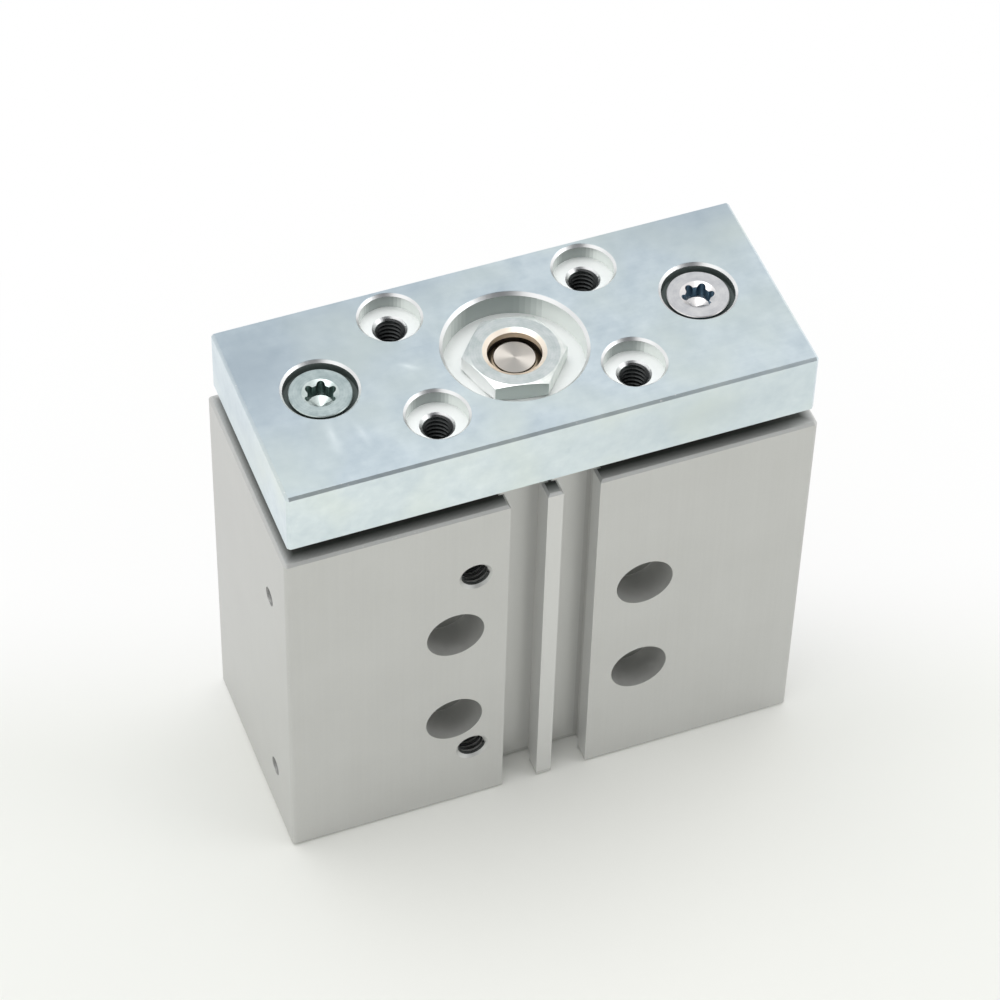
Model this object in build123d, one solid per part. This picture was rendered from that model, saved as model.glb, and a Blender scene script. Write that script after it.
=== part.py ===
from build123d import *
from math import cos, radians, sin
import os

# Guided pneumatic cylinder with a 20 mm bore and a 25 mm stroke, in millimetres, retracted.
# X runs along the long side, Y to the back and Z up, the way the yoke plate extends.
# The origin is the centre of the housing's underside, and the piston rod's axis is Z.

# Stroke, bore and fits
stroke = 25.0
cylinder_bore = 20.0
running_gap = 0.03
seat_gap = 0.02
free_gap = 0.3

# Housing section
body_width = 82.0
body_depth = 35.0
corner_radius = 0.6
end_edge = 0.4  # broken edge round both end faces
slot_rib = 2.4
slot_mouth = 5.7
slot_undercut = 0.6
slot_to_bore = 2.3  # wall between a slot's floor and the cylinder bore
slot_lip_share = 0.56  # of the slot's depth, the rest is the wider pocket

# Covers, their rings and their pads
cover_step = 1.0  # the covers' seats are wider than the bore by this on each side
ring_setback = 1.2  # from an end face to the retaining ring
ring_thickness = 1.0
ring_groove_play = 0.1
ring_groove_depth = 0.5
ring_width = 1.9
ring_end_width = 0.95  # the ring narrows to this at its gap
ring_lug_radius = 1.7
ring_lug_hole = 1.5
ring_lug_angle = 16.0
ring_gap = 2.4
end_cap_length = 6.8
end_cap_dish = 12.0
end_cap_dish_depth = 1.5
rod_cover_length = 10.3
cover_edge = 0.3
o_ring_section = 1.7
o_ring_groove_play = 0.2
pad_inset = 2.0  # from the cylinder's wall to the pad
pad_bore = 8.0
pad_edge = 0.4
pad_proud = 2.0
pad_seat_depth = 0.6
pad_gap = 0.1  # left between pad and piston at each end of the stroke

# Piston, from its lower face upwards
piston_play = 0.3
end_land = 1.2
seal_groove = 2.4
seal_groove_depth = 2.5
land = 0.9
magnet_height = 3.0
magnet_inset = 0.4
magnet_wall = 2.3  # the magnet's radial thickness
wear_groove = 2.6
wear_groove_depth = 1.3
thin_land = 0.7  # between the wear ring's groove and the upper seal's
seal_lip = 0.8
wear_ring_gap = 0.6
wear_ring_slant = 30.0

# Piston rod, its bearing and its nuts
rod_diameter = 10.0
rod_spigot = 6.0
rod_thread = 8.0
rod_thread_tip = 6.0
rod_tip_chamfer = 1.0
rod_foot_chamfer = 0.6
bearing_wall = 1.0
bearing_length = 5.2
rod_seal_wall = 2.5
rod_seal_height = 3.4
rod_seal_play = 0.2
piston_nut_flats = 10.0
piston_nut_height = 3.2
piston_nut_play = 0.12
piston_nut_inset = 0.6
joint_seal_section = 1.0
nut_corner_cut = 0.1  # a nut's chamfer starts this far inside its flats
nut_corner_slope = 0.35  # how much the chamfer falls for each millimetre outwards
nut_mouth = 0.75
nut_mouth_depth = 0.45

# Guides
guide_diameter = 12.0
guide_from_end = 12.0  # from the housing's end to the guide's axis
guide_offset = 1.3  # the guides and the hole patterns lie this far behind the rod
guide_foot = 1.0  # height of the guide rods' lower ends above the underside
guide_edge = 0.8
bush_wall = 2.0
bush_edge_share = 0.25
bush_length = 20.0
bush_engagement = 12.0  # of the lower bush that still holds the guide at full stroke
wiper_height = 2.6
wiper_inset = 0.8
wiper_lip = 0.5
wiper_gap = 1.0
guide_mouth_edge = 0.4

# Yoke plate
plate_end_inset = 0.75
plate_side_inset = 0.5
plate_thickness = 11.0
plate_gap = 2.5  # between the housing and the retracted plate
plate_edge = 0.4
guide_seat_depth = 2.0
nut_recess = 20.8
nut_recess_depth = 4.1
nut_recess_edge = 0.5
nut_flats = 13.4
nut_height = 3.0
nut_turn = -11.5  # degrees, as the nut happened to be tightened
rod_tip_depth = 2.4  # below the plate's top

# Countersunk screws that hold the guide rods
screw_diameter = 5.0
screw_hole_play = 0.25
screw_head = 9.3
screw_head_land = 0.3
screw_head_edge = 0.12
screw_head_depth = 0.75  # below the plate's top
screw_length = 20.0
screw_seat_play = 0.8
screw_seat_groove = 1.1  # how far the gap round the head goes below its top
screw_seat_edge = 0.4
screw_tip = 0.5
six_lobe_width = 4.9
six_lobe_lobe = 0.6
six_lobe_blend = 0.3
six_lobe_depth = 2.5
six_lobe_turns = {"left": 10.0, "right": -9.0}  # degrees, as the screws happened to stop
drive_mouth = 5.4
drive_mouth_depth = 0.45
drill_point = 0.1
tapped_room = 2.2  # below the screw's tip

# Hole pattern of the yoke plate, which the underside repeats
pattern_x = 30.0
pattern_y = 20.0
centring_bore = 9.0
centring_depth = 2.5
thread_core = 4.2
thread_edge = 0.5
underside_thread_depth = 7.5

# Through holes of the housing
mount_x = 30.0
mount_z = 20.0
mount_above_port = 8.2  # from the lower port to the lower holes
mount_hole = 5.6
mount_head = 9.0
mount_head_depth = 5.5
mount_thread_core = 5.1
mount_thread_length = 12.0

# Supply ports and the drilled passages behind them
port_from_slot = 5.1
port_floor = 0.6  # between the port's thread and the passage
port_above_passage = 1.4
passage_diameter = 3.0
passage_bite = 0.2  # the passage's axis lies this far inside the cylinder's wall
lower_passage_rise = 1.7
upper_passage_drop = 2.5
passage_end = 1.0  # from the passage's end to the rod's axis
plug_length = 4.0
plug_inset = 0.5
plug_edge = 0.3

# Diameters and places that follow from the sizes above
cover_bore = cylinder_bore + 2 * cover_step
ring_groove = cover_bore + 2 * ring_groove_depth
o_ring_groove_width = o_ring_section + 2 * o_ring_groove_play
o_ring_groove_floor = cover_bore - 2 * o_ring_section
piston_diameter = cylinder_bore - 2 * piston_play
seal_groove_floor = cylinder_bore - 2 * seal_groove_depth
wear_groove_floor = cylinder_bore - 2 * wear_groove_depth
magnet_diameter = piston_diameter - 2 * magnet_inset
piston_hub = magnet_diameter - 2 * magnet_wall
piston_nut_recess = piston_nut_flats / cos(radians(30)) + 2 * piston_nut_play
pad_diameter = cylinder_bore - 2 * pad_inset
bearing_diameter = rod_diameter + 2 * bearing_wall
rod_seal_diameter = rod_diameter + 2 * rod_seal_wall
guide_bore = guide_diameter + 2 * bush_wall
guide_x = body_width / 2 - guide_from_end
screw_hole = screw_diameter + 2 * screw_hole_play
screw_seat = screw_head + 2 * screw_seat_play
plate_width = body_width - 2 * plate_end_inset
plate_depth = body_depth - 2 * plate_side_inset
slot_x = (slot_rib + slot_mouth) / 2
slot_depth = body_depth / 2 - cylinder_bore / 2 - slot_to_bore
slot_lip = slot_lip_share * slot_depth
passage_y = cylinder_bore / 2 - passage_bite
port_x = slot_x + slot_mouth / 2 + port_from_slot
port_depth = body_depth / 2 - passage_y - passage_diameter / 2 - port_floor

# Heights that follow
piston_length = 2 * (end_land + seal_groove + land) + magnet_height + wear_groove + thin_land
lower_seat_z = ring_setback + ring_thickness + end_cap_length
piston_z = lower_seat_z + pad_proud + pad_gap
piston_top_z = piston_z + piston_length
upper_seat_z = piston_top_z + stroke + pad_gap + pad_proud
rod_cover_top_z = upper_seat_z + rod_cover_length
body_height = rod_cover_top_z + ring_thickness + ring_setback
plate_z = body_height + plate_gap
plate_top_z = plate_z + plate_thickness
lower_bush_z = guide_foot + stroke + bush_engagement - bush_length
wiper_z = body_height - wiper_inset - wiper_height
upper_bush_z = wiper_z - wiper_gap - bush_length
lower_passage_z = lower_seat_z + lower_passage_rise
upper_passage_z = upper_seat_z - upper_passage_drop
mount_low_z = lower_passage_z + port_above_passage + mount_above_port
pad_thickness = pad_proud + pad_seat_depth
split_z = end_land + seal_groove + land + magnet_height
end_cap_groove_z = lower_seat_z - end_cap_length / 2
rod_cover_groove_z = upper_seat_z + rod_cover_length / 3
rod_bearing_z = upper_seat_z + pad_seat_depth + seat_gap
rod_seal_z = rod_cover_top_z - rod_seal_height - rod_seal_play
tapped_depth = screw_length + screw_head_depth + tapped_room + guide_seat_depth - plate_thickness

on_base = (Align.CENTER, Align.CENTER, Align.MIN)
on_front = (Align.CENTER, Align.MIN)
over = 1.0
sides = {"left": -1, "right": 1}


def turned(points):
    # A body of revolution about Z through (radius, height) points.
    return revolve(Plane.XZ * make_face(Polyline(*points, close=True)), axis=Axis.Z)


def bar(diameter, bottom, top):
    # A plain round bar about Z, or a hole to be cut, between two heights.
    return Pos(0, 0, bottom) * Cylinder(diameter / 2, top - bottom, align=on_base)


def drilling(steps, edge):
    # A stepped hole down from z = 0, as (diameter, depth) pairs, with its mouth chamfered by edge.
    mouth = steps[0][0] / 2
    points = [(0, over), (mouth + edge + over, over), (mouth, -edge)]
    for i, (diameter, depth) in enumerate(steps):
        if i > 0:
            points.append((diameter / 2, -steps[i - 1][1]))
        points.append((diameter / 2, -depth))
    points.append((0, -steps[-1][1]))
    return turned(points)


def down(x, y, z):
    # Places a drilling that goes down from a top face.
    return Pos(x, y, z)


def up(x, y):
    # Places a drilling that goes up from the underside.
    return Pos(x, y, 0) * Rot(180, 0, 0)


def from_front(x, z):
    # Places a drilling that goes back from the front face.
    return Pos(x, -body_depth / 2, z) * Rot(90, 0, 0)


def from_back(x, z):
    # Places a drilling that goes forward from the back face.
    return Pos(x, body_depth / 2, z) * Rot(-90, 0, 0)


def from_left(y, z):
    # Places a drilling that goes right from the left end face.
    return Pos(-body_width / 2, y, z) * Rot(0, -90, 0)


def pattern(spacing_x, spacing_y):
    # The four corners of a rectangle of holes.
    return [(sx * spacing_x / 2, sy * spacing_y / 2) for sx in (-1, 1) for sy in (-1, 1)]


def slot_section():
    # The section of a sensor slot, open to the front, with a narrower mouth than its inside.
    front = -body_depth / 2
    mouth = Pos(0, front - over) * Rectangle(slot_mouth, over + slot_depth, align=on_front)
    inner_width = slot_mouth + 2 * slot_undercut
    inner_depth = slot_depth - slot_lip
    inner = Pos(0, front + slot_lip) * Rectangle(inner_width, inner_depth, align=on_front)
    return mouth + inner


def housing():
    # The extruded body, bored for the piston and the guides and drilled for air and for screws.
    section = RectangleRounded(body_width, body_depth, corner_radius)
    for side in sides.values():
        section -= Pos(side * slot_x, 0) * slot_section()
    body = extrude(section, body_height)
    body = chamfer(body.edges().group_by(Axis.Z)[0] + body.edges().group_by(Axis.Z)[-1], end_edge)
    body -= bar(cylinder_bore, -over, body_height + over)
    body -= bar(cover_bore, -over, lower_seat_z)
    body -= bar(cover_bore, upper_seat_z, body_height + over)
    groove_height = ring_thickness + ring_groove_play
    body -= bar(ring_groove, ring_setback, ring_setback + groove_height)
    body -= bar(ring_groove, body_height - ring_setback - groove_height, body_height - ring_setback)
    for mouth in (up(0, 0), down(0, 0, body_height)):
        body -= mouth * drilling([(cover_bore, ring_setback / 2)], cover_edge)
    for side in sides.values():
        place = Pos(side * guide_x, guide_offset, 0)
        body -= place * bar(guide_bore, -over, body_height + over)
        for mouth in (up(0, 0), down(0, 0, body_height)):
            body -= place * mouth * drilling([(guide_bore, wiper_inset)], guide_mouth_edge)
    for x, y in pattern(pattern_x, pattern_y):
        body -= up(x, y + guide_offset) * drilling([(thread_core, underside_thread_depth)], thread_edge)
    front_steps = [(mount_head, mount_head_depth), (mount_hole, body_depth - mount_thread_length)]
    back_steps = [(mount_thread_core, mount_thread_length + over)]
    for x, z in pattern(mount_x, mount_z):
        height = mount_low_z + mount_z / 2 + z
        body -= from_front(x, height) * drilling(front_steps, 0)
        body -= from_back(x, height) * drilling(back_steps, thread_edge)
    for passage_z in (lower_passage_z, upper_passage_z):
        passage_length = body_width / 2 - passage_end
        body -= from_left(-passage_y, passage_z) * drilling([(passage_diameter, passage_length)], 0)
        feed_depth = body_depth / 2 - passage_y
        steps = [(thread_core, port_depth), (passage_diameter, feed_depth)]
        body -= from_front(-port_x, passage_z + port_above_passage) * drilling(steps, thread_edge)
    return body


def retaining_ring(bottom, turn):
    # An internal retaining ring: widest opposite its gap, with a drilled lug at each end.
    outer = ring_groove / 2 - seat_gap
    inner = outer - (ring_width + ring_end_width) / 2
    lug_reach = outer - ring_end_width / 2 - ring_lug_radius
    lug_x = lug_reach * sin(radians(ring_lug_angle))
    lug_y = lug_reach * cos(radians(ring_lug_angle))
    face = Circle(outer) - Pos(0, (ring_width - ring_end_width) / 2) * Circle(inner)
    face += [Pos(side * lug_x, lug_y) * Circle(ring_lug_radius) for side in (-1, 1)]
    face -= Pos(0, outer) * Rectangle(ring_gap, 2 * (outer - inner + ring_lug_radius))
    face -= [Pos(side * lug_x, lug_y) * Circle(ring_lug_hole / 2) for side in (-1, 1)]
    return Pos(0, 0, bottom) * Rot(0, 0, turn) * extrude(face, ring_thickness)


def o_ring(height):
    # The ring that seals a cover in its bore.
    centre = (cover_bore - o_ring_section) / 2 - seat_gap
    return Pos(0, 0, height) * Torus(centre, o_ring_section / 2 - seat_gap)


def cover_blank(bottom, top, groove_z):
    # A round cover with broken edges and a groove for its sealing ring.
    radius = cover_bore / 2 - seat_gap
    floor = o_ring_groove_floor / 2
    low = groove_z - o_ring_groove_width / 2
    high = groove_z + o_ring_groove_width / 2
    return turned([
        (0, bottom), (radius - cover_edge, bottom), (radius, bottom + cover_edge),
        (radius, low), (floor, low), (floor, high), (radius, high),
        (radius, top - cover_edge), (radius - cover_edge, top), (0, top)])


def end_cap():
    # The cover that closes the lower end, dished below and with a seat for the pad above.
    bottom = ring_setback + ring_thickness
    cap = cover_blank(bottom, lower_seat_z, end_cap_groove_z)
    cap -= up(0, 0) * Pos(0, 0, -bottom) * drilling([(end_cap_dish, end_cap_dish_depth)], cover_edge)
    cap -= bar(pad_diameter + 2 * seat_gap, lower_seat_z - pad_seat_depth, lower_seat_z + over)
    return cap


def rod_cover():
    # The cover that the rod passes: a seat for the pad, a bearing pocket and a seal pocket.
    cover = cover_blank(upper_seat_z, rod_cover_top_z, rod_cover_groove_z)
    cover -= bar(rod_diameter + 2 * free_gap, upper_seat_z - over, rod_cover_top_z + over)
    cover -= bar(pad_diameter + 2 * seat_gap, upper_seat_z - over, upper_seat_z + pad_seat_depth)
    cover -= bar(bearing_diameter + 2 * seat_gap, upper_seat_z, rod_bearing_z + bearing_length)
    pocket = [(rod_seal_diameter + 2 * seat_gap, rod_seal_height + rod_seal_play)]
    cover -= down(0, 0, rod_cover_top_z) * drilling(pocket, cover_edge)
    return cover


def cushion_pad(bottom, bore):
    # A flat elastic ring that the piston lands on.
    inner, outer = bore / 2, pad_diameter / 2
    top = bottom + pad_thickness
    return turned([
        (inner, bottom), (outer - pad_edge, bottom), (outer, bottom + pad_edge), (outer, top - pad_edge),
        (outer - pad_edge, top), (inner, top)])


def bush(inside, outside, bottom, length):
    # A plain bearing bush with chamfered ends.
    bore = inside / 2 + running_gap
    radius = outside / 2 - seat_gap
    edge = bush_edge_share * (radius - bore)
    top = bottom + length
    return turned([
        (bore, bottom + edge), (bore + edge, bottom), (radius - edge, bottom), (radius, bottom + edge),
        (radius, top - edge), (radius - edge, top), (bore + edge, top), (bore, top - edge)])


def lip_ring(shaft, outside, bottom, height):
    # A wiper or rod seal: a thick heel in its pocket and a thin lip that leans on the shaft.
    lip = wiper_lip
    bore = shaft / 2 + running_gap
    radius = outside / 2 - seat_gap
    waist = bore + (radius - bore) / 3
    top = bottom + height
    return turned([
        (waist, bottom), (radius, bottom), (radius, top - lip), (radius - lip, top - lip),
        (waist + lip / 2, top - lip), (bore + lip / 2, top), (bore, top), (bore, top - lip),
        (waist, top - 2 * lip)])


def piston_seal(bottom, facing):
    # A cup seal in its piston groove, with its open side facing up (1) or down (-1).
    heel = seal_groove_floor / 2 + seat_gap
    wall = cylinder_bore / 2 - running_gap
    height = seal_groove - 2 * running_gap
    middle = (heel + wall) / 2
    ring = turned([
        (heel, 0), (wall - seal_lip, 0), (wall - seal_lip / 2, height - seal_lip),
        (wall, height - seal_lip / 2), (wall - seal_lip / 2, height), (middle, height - seal_lip),
        (heel + seal_lip, height), (heel, height)])
    if facing > 0:
        return Pos(0, 0, bottom + running_gap) * ring
    return Pos(0, 0, bottom + running_gap + height) * Rot(180, 0, 0) * ring


def piston_lower_half():
    # The half below the magnet, with a pocket for the nut.
    radius, floor, hub = piston_diameter / 2, seal_groove_floor / 2, piston_hub / 2
    groove = end_land
    flange = groove + seal_groove + land
    half = turned([
        (0, 0), (radius, 0), (radius, groove), (floor, groove), (floor, groove + seal_groove),
        (radius, groove + seal_groove), (radius, flange), (hub, flange), (hub, split_z), (0, split_z)])
    half -= bar(rod_spigot + 2 * seat_gap, -over, split_z + over)
    half -= bar(piston_nut_recess, -over, piston_nut_inset + piston_nut_height)
    return Pos(0, 0, piston_z) * half


def piston_upper_half():
    # The half above the magnet, grooved for the wear ring and the upper seal.
    radius, floor, wear_floor = piston_diameter / 2, seal_groove_floor / 2, wear_groove_floor / 2
    wear = split_z + land
    groove = piston_length - end_land - seal_groove
    half = turned([
        (0, split_z), (radius, split_z), (radius, wear), (wear_floor, wear),
        (wear_floor, wear + wear_groove), (radius, wear + wear_groove), (radius, groove), (floor, groove),
        (floor, groove + seal_groove), (radius, groove + seal_groove), (radius, piston_length),
        (0, piston_length)])
    half -= bar(rod_spigot + 2 * seat_gap, split_z - over, piston_length + over)
    seat = rod_spigot + 2 * joint_seal_section + 2 * seat_gap
    half -= bar(seat, piston_length - joint_seal_section, piston_length + over)
    return Pos(0, 0, piston_z) * half


def piston_magnet():
    # The magnet ring that the slot sensors read, held between the piston halves.
    bottom = piston_z + split_z - magnet_height
    ring = bar(magnet_diameter, bottom + seat_gap, bottom + magnet_height - seat_gap)
    return ring - bar(piston_hub + 2 * seat_gap, bottom - over, bottom + magnet_height + over)


def piston_wear_ring():
    # A split guide band, cut on the slant so that it closes round the piston.
    bottom = piston_z + split_z + land
    ring = bar(cylinder_bore - 2 * running_gap, bottom + running_gap, bottom + wear_groove - running_gap)
    ring -= bar(wear_groove_floor + 2 * seat_gap, bottom - over, bottom + wear_groove + over)
    cut = Pos(0, cylinder_bore / 2, bottom + wear_groove / 2) * Rot(0, wear_ring_slant, 0)
    return ring - cut * Box(wear_ring_gap, cylinder_bore / 2, cylinder_bore / 2)


def piston_joint_seal():
    # The small ring that seals the rod's spigot in the piston.
    centre = (rod_spigot + joint_seal_section) / 2
    height = piston_top_z - joint_seal_section / 2
    return Pos(0, 0, height) * Torus(centre + seat_gap, joint_seal_section / 2 - seat_gap / 2)


def hexagon_nut(flats, height, thread, turn):
    # A low hexagon nut on z = 0 with chamfered corners and a countersunk thread.
    blank = extrude(RegularPolygon(flats / 2, 6, major_radius=False, rotation=turn), height)
    corner = flats / 2 / cos(radians(30))
    face = flats / 2 - nut_corner_cut
    rise = (corner - face) * nut_corner_slope
    blank &= turned([
        (0, 0), (face, 0), (corner, rise), (corner, height - rise), (face, height), (0, height)])
    bore = thread / 2 + seat_gap
    hole = turned([
        (0, over), (bore + nut_mouth, over), (bore + nut_mouth, 0), (bore, -nut_mouth_depth),
        (bore, -height), (0, -height)])
    for end in (down(0, 0, height), up(0, 0)):
        blank -= end * hole
    return blank


def piston_nut():
    # The nut below the piston that clamps both halves and the magnet to the rod.
    nut = hexagon_nut(piston_nut_flats, piston_nut_height, rod_spigot, 0)
    return Pos(0, 0, piston_z + piston_nut_inset) * nut


def rod_nut():
    # The nut in the plate's round recess that clamps the rod.
    nut = hexagon_nut(nut_flats, nut_height, rod_thread, nut_turn)
    return Pos(0, 0, plate_top_z - nut_recess_depth) * nut


def piston_rod():
    # Spigot through the piston, ground rod, shoulder under the plate and threaded tip.
    spigot, rod, neck, tip = rod_spigot / 2, rod_diameter / 2, rod_thread / 2, rod_thread_tip / 2
    foot = piston_z + piston_nut_inset / 2
    top = plate_top_z - rod_tip_depth
    return turned([
        (0, foot), (spigot - rod_foot_chamfer, foot), (spigot, foot + rod_foot_chamfer),
        (spigot, piston_top_z), (rod, piston_top_z), (rod, plate_z), (neck, plate_z),
        (neck, top - rod_tip_chamfer), (tip, top), (0, top)])


def guide_rod(side):
    # A guide rod whose upper end seats in the plate and takes the countersunk screw.
    radius = guide_diameter / 2
    top = plate_z + guide_seat_depth
    rod = turned([
        (0, guide_foot), (radius - guide_edge, guide_foot), (radius, guide_foot + guide_edge),
        (radius, top - guide_edge / 2), (radius - guide_edge / 2, top), (0, top)])
    rod -= down(0, 0, top) * drilling([(screw_diameter + 2 * seat_gap, tapped_depth)], thread_edge)
    return Pos(side * guide_x, guide_offset, 0) * rod


def six_lobe_recess():
    # The drive recess of a screw, down from z = 0, with a lead-in and a drilled bottom.
    lobe_reach = six_lobe_width / 2 - six_lobe_lobe
    star = Circle(lobe_reach)
    for lobe in PolarLocations(lobe_reach, 6):
        star += lobe * Circle(six_lobe_lobe)
    star = fillet(star.vertices(), six_lobe_blend)
    point = turned([(0, 0), (lobe_reach, 0), (drill_point, -lobe_reach / 2), (0, -lobe_reach / 2)])
    mouth = turned([
        (0, over), (drive_mouth / 2, over), (drive_mouth / 2, 0), (lobe_reach, -drive_mouth_depth),
        (0, -drive_mouth_depth)])
    return Pos(0, 0, -six_lobe_depth) * (extrude(star, six_lobe_depth + over) + point) + mouth


def yoke_screw(name, side):
    # A countersunk screw with a six-lobe drive, set a little below the plate's top.
    head, shank = screw_head / 2, screw_diameter / 2
    cone = screw_head_land + head - shank
    screw = turned([
        (0, 0), (head - screw_head_edge, 0), (head, -screw_head_edge), (head, -screw_head_land),
        (shank, -cone), (shank, screw_tip - screw_length), (shank - screw_tip, -screw_length),
        (0, -screw_length)])
    screw -= Rot(0, 0, six_lobe_turns[name]) * six_lobe_recess()
    return Pos(side * guide_x, guide_offset, plate_top_z - screw_head_depth) * screw


def screw_seat_hole():
    # The hole for a yoke screw, down from z = 0: broken edge, room round the head, cone and shank hole.
    seat, hole = screw_seat / 2, screw_hole / 2
    floor = screw_head_depth + screw_seat_groove
    cone = (screw_head / 2 + seat_gap) - (screw_seat_groove - screw_head_land)
    return turned([
        (0, over), (seat + screw_seat_edge + over, over), (seat, -screw_seat_edge), (seat, -floor),
        (cone, -floor), (hole, -floor - (cone - hole)), (hole, -plate_thickness - over),
        (0, -plate_thickness - over)])


def yoke_plate():
    # The plate that the rod and the guides drive, with its hole pattern and the nut's recess.
    plate = Pos(0, 0, plate_z) * Box(plate_width, plate_depth, plate_thickness, align=on_base)
    plate = chamfer(plate.edges(), plate_edge)
    recess = [(nut_recess, nut_recess_depth), (rod_thread + 2 * seat_gap, plate_thickness + over)]
    plate -= down(0, 0, plate_top_z) * drilling(recess, nut_recess_edge)
    for side in sides.values():
        plate -= Pos(side * guide_x, guide_offset, plate_top_z) * screw_seat_hole()
        seat = bar(guide_diameter + 2 * seat_gap, plate_z - over, plate_z + guide_seat_depth)
        plate -= Pos(side * guide_x, guide_offset, 0) * seat
    centring = drilling([(centring_bore, centring_depth)], plate_edge)
    thread = drilling([(thread_core, plate_thickness - centring_depth + over)], thread_edge)
    for x, y in pattern(pattern_x, pattern_y):
        plate -= down(x, y + guide_offset, plate_top_z) * centring
        plate -= down(x, y + guide_offset, plate_top_z - centring_depth) * thread
    return plate


def passage_plug(height):
    # A pressed-in plug that closes the outer end of an air passage.
    radius = passage_diameter / 2 - seat_gap
    plug = turned([
        (0, 0), (radius - plug_edge, 0), (radius, -plug_edge), (radius, -plug_length), (0, -plug_length)])
    return from_left(-passage_y, height) * Pos(0, 0, -plug_inset) * plug


def make_nodes():
    # Every separate piece under the name of its node.
    nodes = {
        "housing": housing(),
        "end_cap": end_cap(),
        "end_cap_o_ring": o_ring(end_cap_groove_z),
        "end_cap_retaining_ring": retaining_ring(ring_setback, 0),
        "lower_cushion_pad": cushion_pad(lower_seat_z - pad_seat_depth, pad_bore),
        "upper_cushion_pad": cushion_pad(upper_seat_z - pad_proud, rod_diameter + 2 * free_gap),
        "rod_cover": rod_cover(),
        "rod_cover_o_ring": o_ring(rod_cover_groove_z),
        "rod_cover_retaining_ring": retaining_ring(rod_cover_top_z, 180),
        "rod_bearing": bush(rod_diameter, bearing_diameter, rod_bearing_z, bearing_length - seat_gap),
        "rod_seal": lip_ring(rod_diameter, rod_seal_diameter, rod_seal_z, rod_seal_height),
        "passage_plug_lower": passage_plug(lower_passage_z),
        "passage_plug_upper": passage_plug(upper_passage_z),
        "yoke_plate": yoke_plate(),
        "piston_rod": piston_rod(),
        "rod_nut": rod_nut(),
        "piston_lower_half": piston_lower_half(),
        "piston_upper_half": piston_upper_half(),
        "piston_magnet": piston_magnet(),
        "piston_wear_ring": piston_wear_ring(),
        "piston_seal_lower": piston_seal(piston_z + end_land, -1),
        "piston_seal_upper": piston_seal(piston_top_z - end_land - seal_groove, 1),
        "piston_joint_seal": piston_joint_seal(),
        "piston_nut": piston_nut(),
    }
    lower_bush = bush(guide_diameter, guide_bore, lower_bush_z, bush_length)
    upper_bush = bush(guide_diameter, guide_bore, upper_bush_z, bush_length)
    wiper = lip_ring(guide_diameter, guide_bore, wiper_z, wiper_height)
    for name, side in sides.items():
        at_guide = Pos(side * guide_x, guide_offset, 0)
        nodes[f"guide_bush_{name}_lower"] = at_guide * lower_bush
        nodes[f"guide_bush_{name}_upper"] = at_guide * upper_bush
        nodes[f"guide_wiper_{name}"] = at_guide * wiper
        nodes[f"guide_rod_{name}"] = guide_rod(side)
        nodes[f"yoke_screw_{name}"] = yoke_screw(name, side)
    return nodes


os.makedirs("parts", exist_ok=True)
for node, shape in make_nodes().items():
    export_step(shape, f"parts/{node}.step")
    print(node, round(shape.volume, 1))
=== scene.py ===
import bmesh
import bpy
from math import pi, radians
from mathutils import Matrix, Vector


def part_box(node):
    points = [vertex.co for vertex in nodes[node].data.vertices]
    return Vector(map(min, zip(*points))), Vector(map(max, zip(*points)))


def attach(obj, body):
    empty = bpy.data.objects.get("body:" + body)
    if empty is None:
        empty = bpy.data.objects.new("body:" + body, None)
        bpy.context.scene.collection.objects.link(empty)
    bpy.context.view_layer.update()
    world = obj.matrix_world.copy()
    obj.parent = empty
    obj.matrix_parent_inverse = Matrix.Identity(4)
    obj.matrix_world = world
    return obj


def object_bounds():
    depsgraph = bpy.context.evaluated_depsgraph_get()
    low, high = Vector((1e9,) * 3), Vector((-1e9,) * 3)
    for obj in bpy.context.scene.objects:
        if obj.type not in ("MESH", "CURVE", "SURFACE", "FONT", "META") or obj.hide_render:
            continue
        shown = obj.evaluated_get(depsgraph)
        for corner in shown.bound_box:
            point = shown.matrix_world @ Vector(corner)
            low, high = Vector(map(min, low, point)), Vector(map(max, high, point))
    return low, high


# Looks of a guided pneumatic cylinder: a zinc plated yoke plate on a satin anodised housing.
# Lengths are written in millimetres and multiplied by mm, because Blender works in metres.
# The render shows 0.15 mm a pixel, so a grit finer than that is drawn at 0.3 mm or more.

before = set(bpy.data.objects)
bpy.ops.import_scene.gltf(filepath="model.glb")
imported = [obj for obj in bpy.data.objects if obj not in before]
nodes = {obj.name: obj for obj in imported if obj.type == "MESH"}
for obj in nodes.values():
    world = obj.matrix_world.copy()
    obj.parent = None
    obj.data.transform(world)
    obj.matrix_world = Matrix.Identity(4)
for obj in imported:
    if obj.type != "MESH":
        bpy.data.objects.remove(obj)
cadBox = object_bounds()
mm = 0.001
print("frame loaded,", len(nodes), "nodes")


def linearColour(hexValue):
    # an sRGB hex value as the linear colour that the shaders take
    parts = [int(hexValue[i:i + 2], 16) / 255 for i in (1, 3, 5)]
    return [p / 12.92 if p <= 0.04045 else ((p + 0.055) / 1.055) ** 2.4 for p in parts] + [1.0]


def addNode(tree, kind, settings=None, links=None, **options):
    # one shader node with its options, its socket values and what feeds it
    node = tree.nodes.new(kind)
    for name, value in options.items():
        setattr(node, name, value)
    for socket, value in (settings or {}).items():
        node.inputs[socket].default_value = linearColour(value) if isinstance(value, str) else value
    for socket, source in (links or {}).items():
        tree.links.new(source, node.inputs[socket])
    return node


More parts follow.
